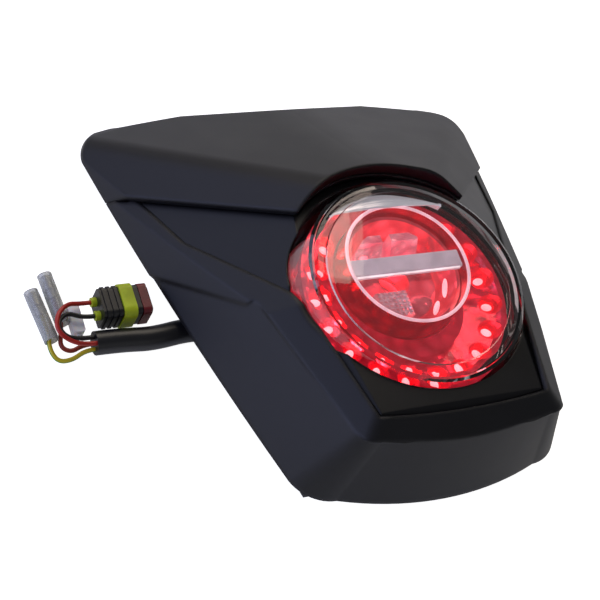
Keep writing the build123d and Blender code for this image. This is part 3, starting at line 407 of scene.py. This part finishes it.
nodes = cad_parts
sleeve_route = [
    (-46, -7.0, 6.45), (-56, -7.0, 6.45), (-71, -4.4, 4.9), (-87, -6.6, 4.9), (-99, -5.4, 4.9), (-110, -5.4, 4.9),
]
brown_route = [
    (-110, -4.4, 2.6), (-113.8, -4.4, 2.6), (-118.6, -6.2, 1.5), (-122.2, -3.4, 1.4), (-121.0, 1.6, 2.6),
    (-119.6, 6.6, 2.9), (-119.8, 11.6, 3.0), (-120.2, 16.5, 3.0),
]
green_route = [
    (-110, -7.2, 3.4), (-113.8, -7.2, 3.4), (-119.0, -9.6, 1.7), (-124.6, -9.4, 1.3), (-126.8, -4.4, 2.4),
    (-126.0, 0.8, 2.9), (-126.2, 5.4, 3.0), (-126.8, 9.9, 3.0),
]
black_route = [
    (-110, -3.7, 6.8), (-115.0, -3.7, 6.8), (-121.4, -2.8, 7.8), (-123.4, 3.2, 8.2), (-118.4, 7.6, 7.8),
    (-112.6, 5.0, 7.0), (-107.6, 5.0, 7.0),
]
red_route = [
    (-110, -6.6, 7.4), (-114.6, -6.6, 7.4), (-120.8, -5.2, 9.2), (-125.0, -0.6, 10.4), (-123.0, 6.0, 10.6),
    (-117.4, 10.6, 9.0), (-112.2, 11.0, 7.0), (-107.6, 11.0, 7.0),
]
sleeve = cord("cable_jacket", sleeve_route, SLEEVE_DIAMETER, pvc_jacket, "cable_sleeve")
brown = cord("brown_wire_lead", brown_route, WIRE_DIAMETER, wire_brown, "brown_wire")
green = cord("earth_wire_lead", green_route, WIRE_DIAMETER, wire_green, "green_wire")
black = cord("black_wire_lead", black_route, WIRE_DIAMETER, wire_black, "black_wire")
red = cord("red_wire_lead", red_route, WIRE_DIAMETER, wire_red, "red_wire")
print("cords", [c.name for c in (sleeve, brown, green, black, red)])

# %% [markdown]
# ## Prism optic
# Low on the left of the projector sits a block of clear prisms that spreads the light. The CAD part has a plain block
# in its place. Here it is rebuilt as rows of small four-sided prisms, each 1.8 mm across. A small helper puts each new
# piece on the lamp's body, for this and the pieces after it.

# %% Prism optic
def on_lamp(name, data):
    """A new object in the scene, carried by the lamp's body."""
    piece = bpy.data.objects.new(name, data)
    scene.collection.objects.link(piece)
    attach(piece, "lamp")
    return piece


def prism_optic(name, low, high, pitch, height):
    """A slab whose top is a grid of four-sided prisms."""
    mesh = bmesh.new()
    columns = max(1, round((high.x - low.x) / pitch))
    rows = max(1, round((high.y - low.y) / pitch))
    step_x = (high.x - low.x) / columns
    step_y = (high.y - low.y) / rows
    top = high.z - height
    grid = [
        [mesh.verts.new((low.x + i * step_x, low.y + j * step_y, top)) for j in range(rows + 1)]
        for i in range(columns + 1)
    ]
    for i in range(columns):
        for j in range(rows):
            tip = mesh.verts.new((low.x + (i + 0.5) * step_x, low.y + (j + 0.5) * step_y, high.z))
            ring = (grid[i][j], grid[i + 1][j], grid[i + 1][j + 1], grid[i][j + 1])
            for first, second in zip(ring, ring[1:] + ring[:1]):
                mesh.faces.new((first, second, tip))
    border = [grid[i][0] for i in range(columns)] + [grid[columns][j] for j in range(rows)]
    border += [grid[i][rows] for i in range(columns, 0, -1)] + [grid[0][j] for j in range(rows, 0, -1)]
    feet = [mesh.verts.new((v.co.x, v.co.y, low.z)) for v in border]
    for k in range(len(border)):
        after = (k + 1) % len(border)
        mesh.faces.new((border[after], border[k], feet[k], feet[after]))
    mesh.faces.new(feet[::-1])
    data = bpy.data.meshes.new(name)
    mesh.to_mesh(data)
    mesh.free()
    return on_lamp(name, data)


optic_low, optic_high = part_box("optic_block")
inset = Vector((2.4 * MM, 1.2 * MM, 0))
prisms = prism_optic("prism_block", optic_low + inset, optic_high - inset * 0.5, 1.8 * MM, 1.2 * MM)
# The prisms' film carries a painted glow: emission that stands for the LED light they pass on.
prism_clear = metallised("prism_plastic_painted_glow", "e6c2ca", "b06a78", (0.06, 0.14), 1.8, 0.1, 0.35)
prisms.data.materials.append(prism_clear)
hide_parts("optic_block")
print("prisms", len(prisms.data.polygons), "faces")

# %% [markdown]
# ## Bright edge of the light bar
# The bar's lower edge shows as a bright line. That line is a painted highlight: a thin glowing round bead along
# the bar.

# %% Bright edge of the light bar
def bead(name, start, end, radius, material, sides=10):
    """A round bead between two points, with closed ends."""
    curve = bpy.data.curves.new(name, "CURVE")
    curve.dimensions = "3D"
    curve.bevel_depth = radius
    curve.bevel_resolution = sides // 2
    curve.use_fill_caps = True
    line = curve.splines.new("POLY")
    line.points.add(1)
    line.points[0].co = (*start, 1.0)
    line.points[1].co = (*end, 1.0)
    curve.materials.append(material)
    return on_lamp(name, curve)


bar_low, bar_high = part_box("light_bar")
bead_radius = 0.45 * MM
bead_y = bar_low.y
bead_z = bar_high.z - 0.9 * MM
half_bar = bar_high.x - 1.0 * MM
bar_edge = bead("light_bar_edge", (-half_bar, bead_y, bead_z), (half_bar, bead_y, bead_z), bead_radius, bar_edge_painted_highlight)
print("bar edge", round(2 * half_bar / MM, 1), "mm long")

# %% [markdown]
# ## Lit rim of the projector
# Only the front edge of the projector's wall takes light, so it shows as one thin pink line. That line is a painted
# highlight: a glowing hoop that sits on the edge of the wall.

# %% Lit rim of the projector
def hoop(name, centre, radius, thickness, material, steps=128):
    """A round ring of round section."""
    curve = bpy.data.curves.new(name, "CURVE")
    curve.dimensions = "3D"
    curve.bevel_depth = thickness / 2
    curve.bevel_resolution = 4
    line = curve.splines.new("POLY")
    line.points.add(steps - 1)
    line.use_cyclic_u = True
    for step, point in enumerate(line.points):
        angle = 2 * pi * step / steps
        point.co = (centre[0] + radius * cos(angle), centre[1] + radius * sin(angle), centre[2], 1.0)
    curve.materials.append(material)
    return on_lamp(name, curve)


ring_low, ring_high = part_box("projector_ring")
projector = (ring_low + ring_high) / 2
wall = 1.4 * MM
rim_radius = (ring_high.x - ring_low.x) / 2 - wall / 2
rim = hoop("projector_rim", (projector.x, projector.y, ring_high.z), rim_radius, wall, rim_painted_highlight)
print("rim radius", round(rim_radius / MM, 1), "mm")

# %% [markdown]
# ## Painted LED reflections
# Each LED of the ring stands deep in its cup, and what the eye meets is its bright image near the cup's mouth. A
# flat glowing dome in each cup, 3 mm across, is that image: a painted reflection. Two small ones over the bar and
# two long ones low on the right are painted reflections of the centre LEDs in the projector's bowl.

# %% Painted LED reflections
def dome(name, centre, size, turn, material, rings=8, around=16):
    """An ellipsoid with three half sizes, turned about the lens axis."""
    mesh = bmesh.new()
    bmesh.ops.create_uvsphere(mesh, u_segments=around, v_segments=rings, radius=1.0)
    bmesh.ops.scale(mesh, vec=Vector(size), verts=mesh.verts)
    bmesh.ops.rotate(mesh, matrix=Matrix.Rotation(turn, 3, "Z"), verts=mesh.verts)
    bmesh.ops.translate(mesh, vec=Vector(centre), verts=mesh.verts)
    for face in mesh.faces:
        face.smooth = True
    data = bpy.data.meshes.new(name)
    mesh.to_mesh(data)
    mesh.free()
    data.materials.append(material)
    piece = on_lamp(name, data)
    return piece


LED_COUNT = 15
LED_CIRCLE = 36.0 * MM
LED_REFLECTION_HEIGHT = 45.2 * MM
LED_REFLECTION_SIZE = (2.3 * MM, 1.5 * MM, 1.2 * MM)
FIRST_ANGLE = -222.0
SPAN = 264.0
LENS_Y = -22.7 * MM
# Each ring dome is a glowing painted reflection of its LED near the cup's mouth.
for index in range(LED_COUNT):
    angle = radians(FIRST_ANGLE + index * SPAN / (LED_COUNT - 1))
    place = (LED_CIRCLE * cos(angle), LENS_Y + LED_CIRCLE * sin(angle), LED_REFLECTION_HEIGHT)
    dome(f"ring_led_reflection_{index + 1:02d}", place, LED_REFLECTION_SIZE, angle, painted_reflection_glow)

# place and half length in mm, and turn about the lens axis
CENTRE_LED_REFLECTIONS = [
    ((-15.0, -8.6, 47.5), 2.2, 0.3),
    ((-9.6, -7.6, 47.5), 1.6, 0.2),
    ((17.6, -22.6, 48.5), 4.6, 1.15),
    ((11.2, -30.2, 47.5), 3.6, 0.95),
]
# Each centre dome is a glowing painted reflection of a centre LED in the projector's bowl.
for index, (place_mm, half_length, turn) in enumerate(CENTRE_LED_REFLECTIONS):
    size = (half_length * MM, 1.1 * MM, 0.9 * MM)
    dome(f"centre_led_reflection_{index + 1}", [v * MM for v in place_mm], size, turn, painted_reflection_glow)
print("domes", LED_COUNT + len(CENTRE_LED_REFLECTIONS))

# %% [markdown]
# ## Chrome eyebrow
# Above the projector the reflector turns into a bright crescent. The CAD part is flat; here it is a thin dished
# shell that starts level over the projector and curls down to the lens, so that it catches a band of light. Its film
# also carries a painted glow, so the crescent's brightness is partly reflected light and partly painted light.

# %% Chrome eyebrow
def crescent(name, chord_y, centre_y, radius, lift, drop, thickness, material, across=48, rows=10):
    """A dished shell between a straight edge and the arc of a circle."""
    mesh = bmesh.new()
    half = (radius ** 2 - (chord_y - centre_y) ** 2) ** 0.5
    grid = []
    for j in range(rows + 1):
        share = j / rows
        row = []
        for i in range(across + 1):
            x = half * (2 * i / across - 1)
            far_y = centre_y + (radius ** 2 - x ** 2) ** 0.5
            sag = drop * share ** 2.2 + drop * 0.5 * (x / half) ** 2 * (1 - share)
            row.append(mesh.verts.new((x, chord_y + (far_y - chord_y) * share, lift - sag)))
        grid.append(row)
    for near, far in zip(grid, grid[1:]):
        for i in range(across):
            mesh.faces.new((near[i], near[i + 1], far[i + 1], far[i]))
    for face in mesh.faces:
        face.smooth = True
    data = bpy.data.meshes.new(name)
    mesh.to_mesh(data)
    mesh.free()
    data.materials.append(material)
    piece = on_lamp(name, data)
    wall_of_shell = piece.modifiers.new("wall", "SOLIDIFY")
    wall_of_shell.thickness = thickness
    wall_of_shell.offset = -1.0
    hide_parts("chrome_eyebrow")
    return piece


# The eyebrow's film carries a painted glow, so part of its brightness is painted light.
eyebrow = crescent("eyebrow_shell", 10.0 * MM, LENS_Y, 41.4 * MM, 58.6 * MM, 5.0 * MM, 0.8 * MM, chrome_film)
print("eyebrow", len(eyebrow.data.polygons), "faces")

# %% [markdown]
# ## Dressing the CAD pieces
# The rest of the pieces keep their CAD shape and only take a finish. A table says which. The red films, the
# eyebrow's film and the light bar among them also carry a painted glow.

# %% Dressing the CAD pieces
FINISHES = {
    abs_shell: ["visor_hood", "outer_frame"],
    abs_panel: ["ear_panel", "foot_panel"],
    pp_housing: ["lamp_housing", "carrier_plate", "back_cover"],
    lens_clear: ["lens_cover"],
    rubber: ["lens_gasket", "breather_cap", "cable_grommet"],
    pvc_jacket: ["inner_cable"],
    aluminium: ["heat_spreader"],
    board_white: ["led_board", "centre_led_board"],
    led_glow: ["ring_leds"],
    centre_glow: ["centre_leds"],
    nylon_black: ["board_resistors", "connector_body"],
    red_reflector: ["ring_reflector"],
    chrome_film: ["chrome_eyebrow"],
    red_wall: ["projector_ring"],
    red_bowl: ["projector_bowl", "optic_frame"],
    bar_silver_painted_glow: ["light_bar"],
    pink_facets: ["reflector_facets"],
    brass: ["threaded_inserts"],
    zinc_steel: ["frame_screws", "hood_screws", "panel_screws", "housing_screws", "cover_screws"],
    nylon_white: ["splice_block", "white_connector"],
    wire_white: ["white_lead"],
    vinyl: ["terminal_sleeves"],
    tin_brass: ["bullet_terminals", "connector_contacts"],
    seal_green: ["connector_seal", "wire_seals"],
    lock_red: ["lock_plate"],
}
for finish, names in FINISHES.items():
    for name in names:
        nodes[name].data.materials.clear()
        nodes[name].data.materials.append(finish)
dressed = sorted(name for names in FINISHES.values() for name in names)
print("dressed", len(dressed), "not dressed", sorted(set(nodes) - set(dressed)))

# %% [markdown]
# ## Studio
# A catalogue picture is taken in a white room: the background is blown out, and large soft boxes give the black
# plastic its shape, since black shows only what it reflects. One box stands over the hood, a cool one on the left, a
# smaller one behind it for the frame's side, and a weak one low in front. The floor is overexposed for the camera
# alone, as in a cut-out picture, so that it is white without throwing its light on the black plastic.

# %% Studio
def soft_box(name, place, aim, size, power, tint):
    """A square area light that faces a point."""
    light = bpy.data.lights.new(name, "AREA")
    light.size = size
    light.energy = power
    light.color = colour(tint)[:3]
    box = bpy.data.objects.new(name, light)
    box.location = place
    box.rotation_euler = (Vector(aim) - Vector(place)).to_track_quat("-Z", "Y").to_euler()
    scene.collection.objects.link(box)
    return box


world = bpy.data.worlds.new("white_room")
world.use_nodes = True
world.node_tree.nodes["Background"].inputs["Color"].default_value = colour("f6f7fa")
world.node_tree.nodes["Background"].inputs["Strength"].default_value = 0.16
scene.world = world
middle = (cad_low + cad_high) / 2
soft_box("top_box", (0.15, 0.75, 0.75), middle, 0.7, 3.6, "fff2e0")
soft_box("left_box", (-0.9, 0.1, 0.35), middle, 0.9, 5.4, "c0caff")
soft_box("back_left_box", (-0.5, 0.75, 0.55), middle, 0.5, 1.1, "ccd4ff")
soft_box("front_box", (0.1, -0.9, 0.5), middle, 0.6, 0.3, "ffffff")

FLOOR_GLOW = 0.2
FLOOR_GLOW_SEEN = 0.95
floor_size = 6.0
floor_mesh = bpy.data.meshes.new("floor")
floor_mesh.from_pydata(
    [(x * floor_size, y * floor_size, 0.0) for x, y in ((-1, -1), (1, -1), (1, 1), (-1, 1))], [], [(0, 1, 2, 3)],
)
floor = bpy.data.objects.new("floor", floor_mesh)
scene.collection.objects.link(floor)
floor_paint, floor_tree, floor_shader = shader(
    "white_floor", Base_Color=colour("f4f4f4"), Roughness=0.9, Specular_IOR_Level=0.0,
    Emission_Color=colour("ffffff"), Emission_Strength=FLOOR_GLOW,
)
seen = node(floor_tree, "ShaderNodeLightPath")
over = node(floor_tree, "ShaderNodeMapRange", {"To Min": FLOOR_GLOW, "To Max": FLOOR_GLOW_SEEN},
            {"Value": seen.outputs["Is Camera Ray"]})
floor_tree.links.new(over.outputs["Result"], floor_shader.inputs["Emission Strength"])
floor_mesh.materials.append(floor_paint)
scene.view_settings.view_transform = "Standard"
